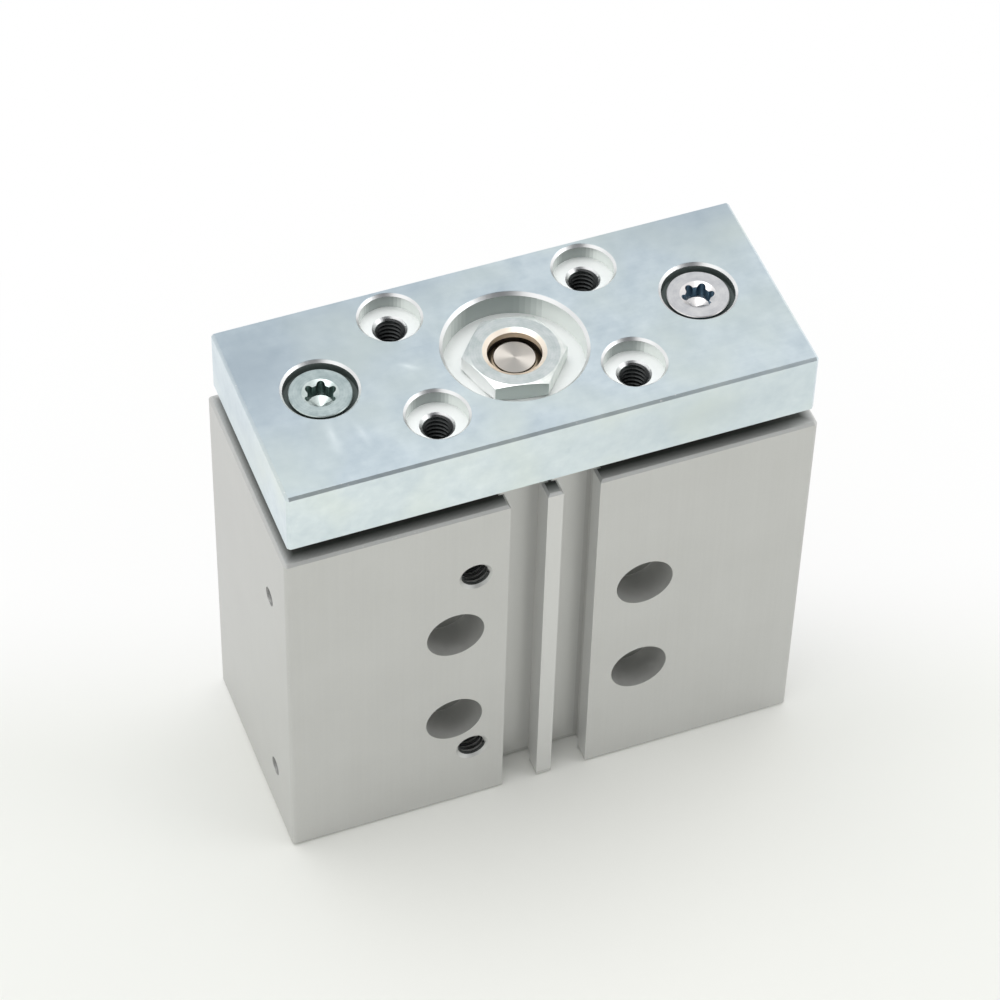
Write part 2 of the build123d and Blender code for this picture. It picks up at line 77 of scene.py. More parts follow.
def faceMask(tree, coords, faces):
    # 1 on faces whose normal lies along an axis, 0 elsewhere, with a soft change between them
    geometry = addNode(tree, "ShaderNodeNewGeometry")
    along = addNode(tree, "ShaderNodeVectorMath", operation="DOT_PRODUCT", settings={
        1: faces["normal"]}, links={0: geometry.outputs["True Normal"]})
    size = addNode(tree, "ShaderNodeMath", operation="ABSOLUTE", links={0: along.outputs["Value"]})
    return addNode(tree, "ShaderNodeMapRange", settings={
        "From Min": faces["least"], "From Max": faces["least"] + faces.get("soft", 0.002)}, links={
        "Value": size.outputs[0]}).outputs[0]


def otherFaceMask(tree, coords, faces):
    return addNode(tree, "ShaderNodeMath", operation="SUBTRACT", settings={0: 1.0}, links={
        1: faceMask(tree, coords, faces)}).outputs[0]


def depthInside(tree, coords, box):
    # how deep a point lies inside a box, from each of its three pairs of faces
    low, high = [Vector(corner) * mm for corner in box]
    moved = addNode(tree, "ShaderNodeVectorMath", operation="SUBTRACT", settings={
        1: (low + high) / 2}, links={0: coords})
    folded = addNode(tree, "ShaderNodeVectorMath", operation="ABSOLUTE", links={0: moved.outputs[0]})
    depth = addNode(tree, "ShaderNodeVectorMath", operation="SUBTRACT", settings={
        0: (high - low) / 2}, links={1: folded.outputs[0]})
    return addNode(tree, "ShaderNodeSeparateXYZ", links={0: depth.outputs[0]}).outputs


def boxMask(tree, coords, box):
    # 1 inside a box, 0 outside it
    split = depthInside(tree, coords, box)
    least = addNode(tree, "ShaderNodeMath", operation="MINIMUM", links={0: split[0], 1: split[1]})
    least = addNode(tree, "ShaderNodeMath", operation="MINIMUM", links={0: least.outputs[0], 1: split[2]})
    return addNode(tree, "ShaderNodeMath", operation="GREATER_THAN", settings={1: 0.0}, links={
        0: least.outputs[0]}).outputs[0]


def outsideMask(tree, coords, box):
    return addNode(tree, "ShaderNodeMath", operation="SUBTRACT", settings={0: 1.0}, links={
        1: boxMask(tree, coords, box)}).outputs[0]


def inwardMask(tree, coords, rim):
    # rises from 0 to 1 on the way in from the four upright sides of a box
    split = depthInside(tree, coords, rim["box"])
    inward = addNode(tree, "ShaderNodeMath", operation="MINIMUM", links={0: split[0], 1: split[1]})
    return addNode(tree, "ShaderNodeMapRange", settings={
        "From Min": rim["from"] * mm, "From Max": rim["to"] * mm}, links={
        "Value": inward.outputs[0]}).outputs[0]


def boreMask(tree, coords, bores):
    # 1 in round bores that stand in a rectangle, 0 outside them; across leaves out the bores' own axis
    moved = addNode(tree, "ShaderNodeVectorMath", operation="SUBTRACT", settings={
        1: Vector(bores.get("middle", (0, 0, 0))) * mm}, links={0: coords})
    folded = addNode(tree, "ShaderNodeVectorMath", operation="ABSOLUTE", links={0: moved.outputs[0]})
    offset = addNode(tree, "ShaderNodeVectorMath", operation="SUBTRACT", settings={
        1: Vector(bores.get("apart", (0, 0, 0))) / 2 * mm}, links={0: folded.outputs[0]})
    flat = addNode(tree, "ShaderNodeVectorMath", operation="MULTIPLY", settings={
        1: bores["across"]}, links={0: offset.outputs[0]})
    away = addNode(tree, "ShaderNodeVectorMath", operation="LENGTH", links={0: flat.outputs[0]})
    near = addNode(tree, "ShaderNodeMath", operation="LESS_THAN", settings={
        1: bores["radius"] * mm}, links={0: away.outputs["Value"]})
    return addNode(tree, "ShaderNodeMath", operation="MULTIPLY", links={
        0: near.outputs[0], 1: boxMask(tree, coords, bores["box"])}).outputs[0]


def edgeMask(tree, coords, wear):
    # 1 along the outer edges of a box, broken up by a noise, for worn and nicked edges
    split = depthInside(tree, coords, wear["box"])
    small = addNode(tree, "ShaderNodeMath", operation="MINIMUM", links={0: split[0], 1: split[1]})
    large = addNode(tree, "ShaderNodeMath", operation="MAXIMUM", links={0: split[0], 1: split[1]})
    second = addNode(tree, "ShaderNodeMath", operation="MINIMUM", links={0: large.outputs[0], 1: split[2]})
    middle = addNode(tree, "ShaderNodeMath", operation="MAXIMUM", links={
        0: small.outputs[0], 1: second.outputs[0]})  # the middle one of three depths is the way to the edge
    noise = addNode(tree, "ShaderNodeTexNoise", settings={
        "Scale": 1 / (wear["patch"] * mm), "Detail": wear["detail"], "Roughness": wear["roughness"]}, links={
        "Vector": coords})
    reach = addNode(tree, "ShaderNodeMapRange", settings={
        "From Min": wear["least"], "From Max": wear["most"], "To Max": wear["width"] * mm}, links={
        "Value": noise.outputs["Fac"]})
    return addNode(tree, "ShaderNodeMath", operation="LESS_THAN", links={
        0: middle.outputs[0], 1: reach.outputs[0]}).outputs[0]


def spotMask(tree, coords, spots):
    # soft oval marks: the centre, half sizes, turn and strength of each
    total = None
    for spot in spots:
        place = addNode(tree, "ShaderNodeMapping", vector_type="TEXTURE", settings={
            "Location": Vector(spot["centre"]) * mm, "Rotation": (0, 0, radians(spot.get("turn", 0))),
            "Scale": Vector(spot["half"]) * mm}, links={"Vector": coords})
        field = addNode(tree, "ShaderNodeTexGradient", gradient_type="QUADRATIC_SPHERE", links={
            "Vector": place.outputs["Vector"]})
        share = addNode(tree, "ShaderNodeMath", operation="MULTIPLY_ADD", settings={
            1: spot["share"], 2: 0.0}, links={0: field.outputs["Fac"]})
        if total:
            tree.links.new(total, share.inputs[2])
        total = share.outputs[0]
    return total


def driftMask(tree, coords, drift):
    # broad soft patches
    noise = addNode(tree, "ShaderNodeTexNoise", settings={
        "Scale": 1 / (drift["size"] * mm), "Detail": drift["detail"]}, links={"Vector": coords})
    return addNode(tree, "ShaderNodeMapRange", settings={
        "From Min": drift["from"], "From Max": drift["to"], "To Max": drift["share"]}, links={
        "Value": noise.outputs["Fac"]}).outputs[0]


limitMasks = {
    "drift": driftMask, "spots": spotMask, "edges": edgeMask, "bores": boreMask, "inward": inwardMask,
    "box": boxMask, "outside": outsideMask, "faces": faceMask, "otherFaces": otherFaceMask,
}


def layCoat(tree, coords, finish, coat):
    # lays a colour and a change of roughness over a finish, wherever all the coat's limits let it
    mask = None
    for limit, makeMask in limitMasks.items():
        if limit in coat:
            part = makeMask(tree, coords, coat[limit])
            mask = addNode(tree, "ShaderNodeMath", operation="MULTIPLY", links={
                0: mask, 1: part}).outputs[0] if mask else part
    colour = addNode(tree, "ShaderNodeMix", data_type="RGBA", settings={7: coat["colour"]}, links={
        0: mask, 6: finish[0]})
    rough = addNode(tree, "ShaderNodeMath", operation="MULTIPLY_ADD", use_clamp=True, settings={
        1: coat.get("rougher", 0.0)}, links={0: mask, 2: finish[1]})
    return colour.outputs[2], rough.outputs[0]


pattern = {
    "ringScale": pi / 10,  # gives one ring for every unit of the scaled length
    "ringDetail": 1.0, "ringDetailScale": 0.2, "noiseDetail": 2.0, "noiseRoughness": 0.55,
    "mean": 0.5,  # of a ring or noise pattern, and of the tint between dark and light
}


def addLayers(tree, coords, layers):
    # stacks patterns: each adds its share to the tint (0 to 1), the roughness and the relief in mm
    sums = {}
    for layer in layers:
        place = addNode(tree, "ShaderNodeMapping", vector_type="TEXTURE", settings={
            "Location": Vector(layer.get("centre", (0, 0, 0))) * mm,
            "Scale": Vector(layer.get("stretch", (1, 1, 1))) * layer["size"] * mm}, links={
            "Vector": coords}).outputs["Vector"]
        if layer.get("kind") == "rings":
            field = addNode(tree, "ShaderNodeTexWave", wave_type="RINGS", rings_direction="Z", settings={
                "Scale": pattern["ringScale"], "Distortion": layer.get("wander", 0.0),
                "Detail": pattern["ringDetail"], "Detail Scale": pattern["ringDetailScale"]}, links={
                "Vector": place}).outputs["Fac"]
        else:
            field = addNode(tree, "ShaderNodeTexNoise", settings={
                "Scale": 1.0, "Detail": layer.get("detail", pattern["noiseDetail"]),
                "Roughness": pattern["noiseRoughness"]}, links={"Vector": place}).outputs["Fac"]
        # centred on zero, so that a layer doesn't shift the mean
        field = addNode(tree, "ShaderNodeMath", operation="SUBTRACT", settings={
            1: pattern["mean"]}, links={0: field}).outputs[0]
        if "outside" in layer:
            field = addNode(tree, "ShaderNodeMath", operation="MULTIPLY", links={
                0: field, 1: outsideMask(tree, coords, layer["outside"])}).outputs[0]
        for share in ("tint", "rough", "relief"):
            if share in layer:
                step = addNode(tree, "ShaderNodeMath", operation="MULTIPLY_ADD", settings={
                    1: layer[share], 2: 0.0}, links={0: field})
                if share in sums:
                    tree.links.new(sums[share], step.inputs[2])
                sums[share] = step.outputs[0]
    return sums


def surface(name, look):
    # a finish from its dictionary: patterns between a dark and a light tone, and coats on top
    material = bpy.data.materials.new(name)
    material.use_nodes = True
    tree = material.node_tree
    tree.nodes.clear()
    coords = addNode(tree, "ShaderNodeTexCoord").outputs["Object"]
    sums = addLayers(tree, coords, look["layers"])
    tint = addNode(tree, "ShaderNodeMath", operation="ADD", use_clamp=True, settings={
        1: pattern["mean"]}, links={0: sums["tint"]})
    rough = addNode(tree, "ShaderNodeMath", operation="ADD", use_clamp=True, settings={
        1: look["rough"]}, links={0: sums["rough"]})
    colour = addNode(tree, "ShaderNodeMix", data_type="RGBA", settings={
        6: look["dark"], 7: look["light"]}, links={0: tint.outputs[0]})
    finish = colour.outputs[2], rough.outputs[0]
    for coat in look.get("coats", []):
        finish = layCoat(tree, coords, finish, coat)
    bump = addNode(tree, "ShaderNodeBump", settings={"Strength": 1.0, "Distance": mm}, links={
        "Height": sums["relief"]})
    shader = addNode(tree, "ShaderNodeBsdfPrincipled", settings=look["shader"], links={
        "Base Color": finish[0], "Roughness": finish[1], "Normal": bump.outputs["Normal"]})
    if look.get("turned"):  # the tool's marks run round the Z axis, so the shine runs across them
        tangent = addNode(tree, "ShaderNodeTangent", direction_type="RADIAL", axis="Z")
        tree.links.new(tangent.outputs[0], shader.inputs["Tangent"])
    addNode(tree, "ShaderNodeOutputMaterial", links={"Surface": shader.outputs[0]})
    return material


def dress(material, *names):
    # gives CAD nodes a finish
    for name in names:
        for slot in nodes[name].material_slots:
            slot.material = material


def middleOf(name):
    # the axis of a round node, in mm
    low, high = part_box(name)
    middle = (Vector(low) + Vector(high)) / 2 / mm
    return middle.x, middle.y, 0.0


# Housing: extruded aluminium, anodised to a satin grey and then milled at both ends.
# The oxide layer takes the mirror off the metal, and faint drawing lines run up the sides.
housingBox = ((-41, -17.5, 0), (41, 17.5, 66))
housingSides = ((-42, -18, 0.02), (42, 18, 65.98))  # all of it but the two end faces
housing = {
    "dark": "#C0C0BD", "light": "#DBDBD9", "rough": 0.46,
    "shader": {"Metallic": 0.6},
    "layers": [
        {"size": 0.45, "stretch": (1, 1, 80), "tint": 0.16, "rough": 0.05, "relief": 0.0010},
        {"size": 2.0, "stretch": (1, 1, 50), "tint": 0.12, "rough": 0.05},
        {"size": 0.30, "tint": 0.20, "rough": 0.12, "relief": 0.0024},
        {"size": 16.0, "detail": 3.0, "tint": 0.40, "rough": 0.08},
        # arcs of the face mill, 0.6 mm apart, on the two end faces alone
        {"kind": "rings", "size": 0.6, "centre": (8, -64, 0), "wander": 0.4, "outside": housingSides,
         "tint": 0.12, "relief": 0.0010},
    ],
    "coats": [
        # edges rubbed bright here and there
        {"colour": "#DCDDDA", "edges": {
            "box": housingBox, "width": 0.25, "patch": 1.2, "detail": 3.0, "roughness": 0.6,
            "least": 0.56, "most": 0.70}},
        # slots, painted even and pale: painted light on their shaded floors
        {"colour": "#DBDBD9", "box": ((-6.9, -17.6, 1), (6.9, -12.2, 65.9))},
        # through holes, painted darker as painted shade inside the bores
        {"colour": "#A8A8A4", "bores": {
            "middle": (0, 0, 30.3), "apart": (30, 0, 20), "across": (1, 0, 1), "radius": 4.4,
            "box": ((-20, -17.4, 10), (20, 17.4, 50))}},
        # end faces, a touch rougher and painted dark within as painted shade under the plate, with a pale rim
        # left where the light reaches in
        {"colour": "#5A5B57", "rougher": 0.05, "outside": housingSides,
         "inward": {"box": housingBox, "from": 0.5, "to": 2.1}},
    ],
}
dress(surface("satin_anodised_extruded_aluminium", housing), "housing")

# Yoke plate: cold drawn steel flat, zinc plated with a thin blue passivation.
# The plating is bright but cloudy, bluish with a hint of green, and its edges are nicked to white.
plateCuts = ((-39.7, -16.5, 69), (39.7, 16.5, 79.45))  # holds all that is cut into the plate
plate = {
    "dark": "#CFDCE3", "light": "#EFF8FB", "rough": 0.36,
    "shader": {"Metallic": 1.0},
    "layers": [
        {"size": 3.0, "detail": 3.0, "tint": 0.80, "rough": 0.06},
        {"size": 10.0, "detail": 2.0, "tint": 0.50, "rough": 0.04},
        # the drawing marks run along the bar
        {"size": 0.6, "stretch": (24, 1, 24), "detail": 1.0, "tint": 0.22, "rough": 0.02},
        {"size": 1.6, "detail": 2.0, "tint": 0.60, "rough": 0.02, "relief": 0.0020},
    ],
    "coats": [
        # the passivation drifts from blue to green
        {"colour": "#E8F0E8", "drift": {"size": 12.0, "detail": 1.0, "from": 0.45, "to": 0.75, "share": 0.7}},
        # darker patches of painted reflection, over the left end and along the back and the front
        {"colour": "#BAC6CF", "spots": [
            {"centre": (-38, 8, 79.5), "half": (36, 32, 0.6), "share": 0.8},
            {"centre": (24, -17, 74), "half": (46, 1.0, 14), "share": 0.5},
            {"centre": (-40.25, 4, 74), "half": (1.0, 40, 14), "share": 0.35},
            {"centre": (34, 22, 79.5), "half": (30, 22, 0.6), "share": 1.0},
            {"centre": (-12, 20, 79.5), "half": (26, 14, 0.6), "share": 0.6},
        ]},
        # painted highlights: pale streaks on the top, a touch rougher, near the left screw and between the
        # left holes
        {"colour": "#F4FAFB", "rougher": 0.15, "spots": [
            {"centre": (-30.3, -7.7, 79.5), "half": (5.6, 1.4, 0.6), "turn": 87, "share": 0.5},
            {"centre": (-26.2, -8.5, 79.5), "half": (4.4, 1.2, 0.6), "turn": -81, "share": 0.4},
            {"centre": (-15.8, 1.3, 79.5), "half": (2.9, 0.9, 0.6), "turn": -38, "share": 0.6},
        ]},
        # the top's edges are nicked down to bright metal; the box goes on below, to spare the lower edges
        {"colour": "#FCFDFD", "rougher": 0.25, "edges": {
            "box": ((-40.25, -17, 40), (40.25, 17, 79.5)), "width": 0.5, "patch": 0.7, "detail": 3.0,
            "roughness": 0.6, "least": 0.62, "most": 0.76}},
        # recesses and seats were machined before plating, so their walls are bright
        {"colour": "#E4E8E5", "box": plateCuts},
        # the far and the near wall are painted grey as painted shade, and are a touch rougher
        {"colour": "#A9AFAD", "rougher": 0.15, "box": plateCuts,
         "faces": {"normal": (0, 1, 0), "least": 0.70, "soft": 0.24}},
        # painted highlight: the chamfered rims are painted white; the floors are paler and matt
        {"colour": "#FFFFFF", "rougher": -0.04, "box": plateCuts,
         "faces": {"normal": (0, 0, 1), "least": 0.5}},
        {"colour": "#FDFFFE", "rougher": 0.35, "box": plateCuts,
         "faces": {"normal": (0, 0, 1), "least": 0.9}},
        # painted shade: the tapped bores and the gaps round the screw heads are painted dark, and are rougher
        {"colour": "#767E7C", "rougher": 0.20, "bores": {
            "middle": (0, 1.3, 0), "apart": (30, 20, 0), "across": (1, 1, 0), "radius": 2.15,
            "box": ((-20, -16, 69), (20, 16, 76.95))}},
        {"colour": "#8D9694", "rougher": 0.20, "bores": {
            "middle": (0, 1.3, 0), "apart": (58, 0, 0), "across": (1, 1, 0), "radius": 5.5,
            "box": ((-40, -16, 69), (40, 16, 79.08))}},
    ],
}
dress(surface("blue_passivated_zinc_on_drawn_steel", plate), "yoke_plate")

# Screws and nuts: cold headed steel, zinc plated in the barrel, which leaves fine dents and a bright skin.
# The drive walls and the nut's thread are painted dark, as painted shade.
driveWalls = {"normal": (0, 0, 1), "least": 0.25}  # what doesn't face up or down
fasteners = {
    "yoke_screw_left": {
        "dark": "#A9BAB8", "light": "#F0F8F5",
        # the drive's walls are painted dark, as painted shade
        "coats": [{"colour": "#667A75", "rougher": 0.1, "otherFaces": driveWalls}]},
    "yoke_screw_right": {
        "dark": "#D6D4D6", "light": "#FFFBF8",
        # the drive's walls are painted dark, as painted shade
        "coats": [{"colour": "#5C788C", "rougher": 0.1, "otherFaces": driveWalls}]},
    "rod_nut": {
        "dark": "#D0DAD5", "light": "#FFFFFD",
        "coats": [
            # painted shade on the flat in front and a painted highlight on its left neighbour, both a touch
            # rougher
            {"colour": "#C0C8C5", "rougher": 0.1, "faces": {"normal": (-0.199, -0.980, 0), "least": 0.95}},
            {"colour": "#FFFFFF", "rougher": 0.2, "faces": {"normal": (-0.948, -0.317, 0), "least": 0.95}},
            # painted highlight: the countersunk mouth is painted pale beige; painted shade: the thread below
            # it is painted dark
            {"colour": "#FFF3E4", "bores": {
                "across": (1, 1, 0), "radius": 4.78, "box": ((-5, -5, 75), (5, 5, 78.35))}},
            {"colour": "#3A3631", "rougher": 0.1, "bores": {
                "across": (1, 1, 0), "radius": 4.06, "box": ((-5, -5, 75), (5, 5, 76.98))}},
        ]},
    "piston_nut": {"dark": "#C8D2CE", "light": "#F8FBF6"},
}
for name, fastener in fasteners.items():
    fastener["rough"] = 0.33
    fastener["shader"] = {"Metallic": 1.0}
    fastener["layers"] = [
        {"kind": "rings", "size": 0.40, "centre": middleOf(name), "wander": 0.3, "tint": 0.08,
         "relief": 0.0005},
        {"size": 1.3, "detail": 4.0, "tint": 1.2, "rough": 0.08, "relief": 0.0080},
    ]
    dress(surface("barrel_zinc_plated_" + name, fastener), name)

# Piston rod: stainless bar, ground on the outside and faced in the lathe at its end.
# The rings of the facing cut give the end its two bright fans.
rod = {
    "dark": "#C2BBB3", "light": "#EEE8E0", "rough": 0.42, "turned": True,
    "shader": {"Metallic": 1.0, "Anisotropic": 0.95},
    "layers": [
        {"kind": "rings", "size": 0.30, "centre": middleOf("piston_rod"), "tint": 0.30, "relief": 0.0014},
        {"size": 0.30, "stretch": (30, 30, 1), "tint": 0.15, "rough": 0.06, "relief": 0.0003},
        {"size": 1.5, "tint": 0.10, "rough": 0.05},
    ],
    "coats": [
        # the thread is bright where the nut has run over it, and its first turn under the end face is painted
        # dark as painted shade
        {"colour": "#EFE6D8", "box": ((-5, -5, 70.5), (5, 5, 77.06))},
        {"colour": "#37332F", "rougher": 0.1, "box": ((-5, -5, 76.92), (5, 5, 77.06))},
    ],
}
dress(surface("turned_stainless_bar", rod), "piston_rod")

# Guide rods: hard chromed and polished steel, nearly a mirror, with a trace of dried grease.
guides = {
    "dark": "#C6CACC", "light": "#DDE0E1", "rough": 0.12, "turned": True,
    "shader": {"Metallic": 1.0, "Anisotropic": 0.3},
    "layers": [
        {"size": 0.30, "stretch": (40, 40, 1), "tint": 0.10, "rough": 0.03, "relief": 0.0002},
        {"size": 6.0, "detail": 3.0, "tint": 0.30, "rough": 0.10},
        {"size": 0.5, "tint": 0.10, "rough": 0.04, "relief": 0.0003},
    ],
}
dress(surface("hard_chromed_polished_steel", guides), "guide_rod_left", "guide_rod_right")

# Covers: aluminium bar turned in the lathe and left bare, bright with fine rings.
covers = {
    "dark": "#A7A8A8", "light": "#CDCECE", "rough": 0.38, "turned": True,
    "shader": {"Metallic": 1.0, "Anisotropic": 0.5},
    "layers": [
        {"kind": "rings", "size": 0.35, "centre": middleOf("end_cap"), "tint": 0.35, "rough": 0.08,
         "relief": 0.0024},
        {"size": 0.30, "tint": 0.20, "rough": 0.08, "relief": 0.0010},
        {"size": 5.0, "detail": 3.0, "tint": 0.30, "rough": 0.06},
    ],
}
dress(surface("turned_bare_aluminium", covers), "end_cap", "rod_cover")

# The rest shows only through the bores and from below: one dictionary each, and a loop dresses them.
smallParts = {
    "phosphated_spring_steel": {  # dark and dull, with the grain of the phosphate crystals
        "nodes": ("end_cap_retaining_ring", "rod_cover_retaining_ring"),
        "dark": "#2E2F30", "light": "#4C4D4C", "rough": 0.48, "shader": {"Metallic": 0.8},
        "layers": [{"size": 0.30, "detail": 3.0, "tint": 0.6, "rough": 0.20, "relief": 0.0040},
                   {"size": 1.2, "tint": 0.4, "rough": 0.08}]},
    "sintered_bronze": {  # brown and matt, with dark oil-filled pores
        "nodes": ("guide_bush_left_lower", "guide_bush_left_upper", "guide_bush_right_lower",
                  "guide_bush_right_upper", "rod_bearing"),
        "dark": "#5D4530", "light": "#A07A4E", "rough": 0.42, "shader": {"Metallic": 0.9},
        "layers": [{"size": 0.30, "detail": 4.0, "tint": 0.9, "rough": 0.25, "relief": 0.0050},
                   {"size": 3.0, "tint": 0.3, "rough": 0.05}]},
    "moulded_nitrile_rubber": {  # near black, with the fine matt skin of its mould
        "nodes": ("end_cap_o_ring", "rod_cover_o_ring", "piston_joint_seal"),
        "dark": "#141414", "light": "#262625", "rough": 0.55, "shader": {"Sheen Weight": 0.1},
        "layers": [{"size": 0.30, "detail": 3.0, "tint": 0.6, "rough": 0.12, "relief": 0.0040},
                   {"size": 2.5, "tint": 0.3, "rough": 0.05}]},
    "cast_polyurethane_seal": {  # dark green and waxy
        "nodes": ("guide_wiper_left", "guide_wiper_right", "rod_seal", "piston_seal_lower",
                  "piston_seal_upper"),
        "dark": "#1F2E29", "light": "#35493F", "rough": 0.38, "shader": {"Coat Weight": 0.1},
        "layers": [{"size": 0.30, "detail": 2.0, "tint": 0.5, "rough": 0.10, "relief": 0.0020},
                   {"size": 3.0, "tint": 0.4, "rough": 0.05}]},
    "cast_polyurethane_cushion": {  # amber, and lets a little light in
        "nodes": ("lower_cushion_pad", "upper_cushion_pad"),
        "dark": "#8A6A2E", "light": "#B28A42", "rough": 0.42,
        "shader": {"Subsurface Weight": 0.2, "Subsurface Scale": 0.001},
        "layers": [{"size": 0.30, "detail": 2.0, "tint": 0.4, "rough": 0.10, "relief": 0.0020},
                   {"size": 4.0, "tint": 0.4, "rough": 0.05}]},
    "turned_piston_aluminium": {  # bare and bright, with the rings of the tool
        "nodes": ("piston_lower_half", "piston_upper_half"),
        "dark": "#ABACAC", "light": "#D2D3D3", "rough": 0.36, "turned": True,
        "shader": {"Metallic": 1.0, "Anisotropic": 0.5},
        "layers": [{"kind": "rings", "size": 0.30, "centre": middleOf("piston_rod"), "tint": 0.4,
                    "rough": 0.08, "relief": 0.0020},
                   {"size": 0.3, "tint": 0.2, "rough": 0.05, "relief": 0.0006}]},
    "plastic_bonded_magnet": {  # charcoal, with ferrite grains in the binder
        "nodes": ("piston_magnet",),
        "dark": "#2A2A2C", "light": "#5A5A5C", "rough": 0.60, "shader": {"Metallic": 0.1},
        "layers": [{"size": 0.30, "detail": 4.0, "tint": 0.8, "rough": 0.20, "relief": 0.0040},
                   {"size": 1.5, "tint": 0.2, "rough": 0.05}]},
    "filled_acetal_band": {  # off-white and slippery
        "nodes": ("piston_wear_ring",),
        "dark": "#BDB8AB", "light": "#D9D5CA", "rough": 0.40,
        "shader": {"Subsurface Weight": 0.1, "Subsurface Scale": 0.001},
        "layers": [{"size": 0.30, "stretch": (12, 12, 1), "tint": 0.5, "rough": 0.10, "relief": 0.0014},
                   {"size": 2.0, "tint": 0.3, "rough": 0.05}]},
    "pressed_in_steel_plug": {  # dull grey with a turned face
        "nodes": ("passage_plug_lower", "passage_plug_upper"),
        "dark": "#77787A", "light": "#A9AAAB", "rough": 0.38, "shader": {"Metallic": 1.0},
        "layers": [{"size": 0.30, "detail": 3.0, "tint": 0.5, "rough": 0.15, "relief": 0.0020},
                   {"size": 0.8, "tint": 0.4, "rough": 0.08}]},
}
for name, look in smallParts.items():
    dress(surface(name, look), *look["nodes"])
print("finishes made")

# Threads: a helical ridge on the wall of each tapped hole. Holes of one kind share their way into the
# part and their length of thread, and each gives its place and the middle of its mouth.
threads = {
    "M5": {"pitch": 0.8, "core": 4.2, "height": 0.26},
    "M6": {"pitch": 1.0, "core": 5.1, "height": 0.32},
    "steps": 24,  # for one turn
    "seat": 0.04,  # how far the ridge stands in the wall
    "crest": 0.10,
    "flank": 0.577,  # the slope of a flank at 30 degrees
    "cut": {  # painted dark as painted shade inside the tapped holes, with a shine on the ridges
        "dark": "#333435", "light": "#474949", "rough": 0.34, "shader": {"Metallic": 1.0},
        "layers": [{"size": 0.30, "detail": 3.0, "tint": 0.4, "rough": 0.12, "relief": 0.0030},
                   {"size": 1.0, "tint": 0.3, "rough": 0.05}]},
    "plate_thread": {
        "size": "M5", "into": (0, 0, -1), "length": 8.4, "body": "yoke", "slot": "zinc_plated_plate"},
    "underside_thread": {
        "size": "M5", "into": (0, 0, 1), "length": 7.0, "body": "housing", "slot": "anodised_housing"},
    "back_thread": {
        "size": "M6", "into": (0, -1, 0), "length": 11.5, "body": "housing", "slot": "anodised_housing"},
    "port_thread": {
        "size": "M5", "into": (0, 1, 0), "length": 4.8, "body": "housing", "slot": "anodised_housing"},
    "mouths": [
        ("plate_thread", "left_front", (-15, -8.7, 77.0)),
        ("underside_thread", "left_front", (-15, -8.7, 0.3)),
        ("plate_thread", "left_back", (-15, 11.3, 77.0)),
        ("underside_thread", "left_back", (-15, 11.3, 0.3)),
        ("back_thread", "left_low", (-15, 17.3, 20.3)),
        ("back_thread", "left_high", (-15, 17.3, 40.3)),
        ("plate_thread", "right_front", (15, -8.7, 77.0)),
        ("underside_thread", "right_front", (15, -8.7, 0.3)),
        ("plate_thread", "right_back", (15, 11.3, 77.0)),
        ("underside_thread", "right_back", (15, 11.3, 0.3)),
        ("back_thread", "right_low", (15, 17.3, 20.3)),
        ("back_thread", "right_high", (15, 17.3, 40.3)),
        ("port_thread", "lower", (-12, -17.3, 12.1)),
        ("port_thread", "upper", (-12, -17.3, 52.4)),
    ],
}


def threadRidge(name, hole, mouth, material):
    # the ridge's section is a trapezoid, spun up its helix and then turned into its hole
    form = threads[hole["size"]]
    wall = form["core"] / 2 + threads["seat"]
    tip = form["core"] / 2 - form["height"]
    crest = threads["crest"] / 2
    root = crest + (wall - tip) * threads["flank"]
    mesh = bmesh.new()
    corners = [mesh.verts.new(Vector(co) * mm) for co in (
        (wall, 0, -root), (tip, 0, -crest), (tip, 0, crest), (wall, 0, root))]
    section = mesh.faces.new(corners)
    turns = int((hole["length"] - 2 * root) / form["pitch"])
    bmesh.ops.spin(mesh, geom=[section, *section.edges, *section.verts], cent=(0, 0, 0), axis=(0, 0, 1),
                   dvec=(0, 0, form["pitch"] * mm / threads["steps"]), angle=2 * pi * turns,
                   steps=turns * threads["steps"])
    bmesh.ops.recalc_face_normals(mesh, faces=mesh.faces)
    into = Vector(hole["into"])
    turn = Vector((0, 0, 1)).rotation_difference(into).to_matrix().to_4x4()
    start = (Vector(mouth) + into * root) * mm
    bmesh.ops.transform(mesh, matrix=Matrix.Translation(start) @ turn, verts=mesh.verts)
    data = bpy.data.meshes.new(name)
    mesh.to_mesh(data)
    mesh.free()
    data.materials.append(material)
    piece = bpy.data.objects.new(name, data)
    bpy.context.scene.collection.objects.link(piece)
    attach(piece, hole["body"])


# the thread ridges are painted dark, as painted shade inside the holes
cutThread = surface("tapped_metal_painted_shade", threads["cut"])
for kind, place, mouth in threads["mouths"]:
    threadRidge(kind + "_" + place, threads[kind], mouth, cutThread)
print("threads made,", len(threads["mouths"]))

# Floor: white paper. It keeps the object's shadow in front and goes over to plain white behind.
floorLook = {
    "size": 8000, "drop": 0.05,  # it lies a hair below the housing
    "colour": "#F5F5F0", "rough": 0.9, "specular": 0.2,
    "grain": 1.2, "grainDetail": 2.0, "grainStrength": 0.1, "grainRelief": 0.02,
    # the white begins across a slope behind the object, and further away all round
    "slope": (0.30, 1.0, 0.0), "start": -14, "end": 28, "nearShare": 0.85, "near": 55, "far": 125,
}
sheet = bmesh.new()
bmesh.ops.create_grid(sheet, x_segments=1, y_segments=1, size=floorLook["size"] * mm / 2)
bmesh.ops.translate(sheet, vec=(0, 0, cadBox[0][2] - floorLook["drop"] * mm), verts=sheet.verts)
floorMesh = bpy.data.meshes.new("floor")
sheet.to_mesh(floorMesh)
sheet.free()
floor = bpy.data.objects.new("floor", floorMesh)
bpy.context.scene.collection.objects.link(floor)

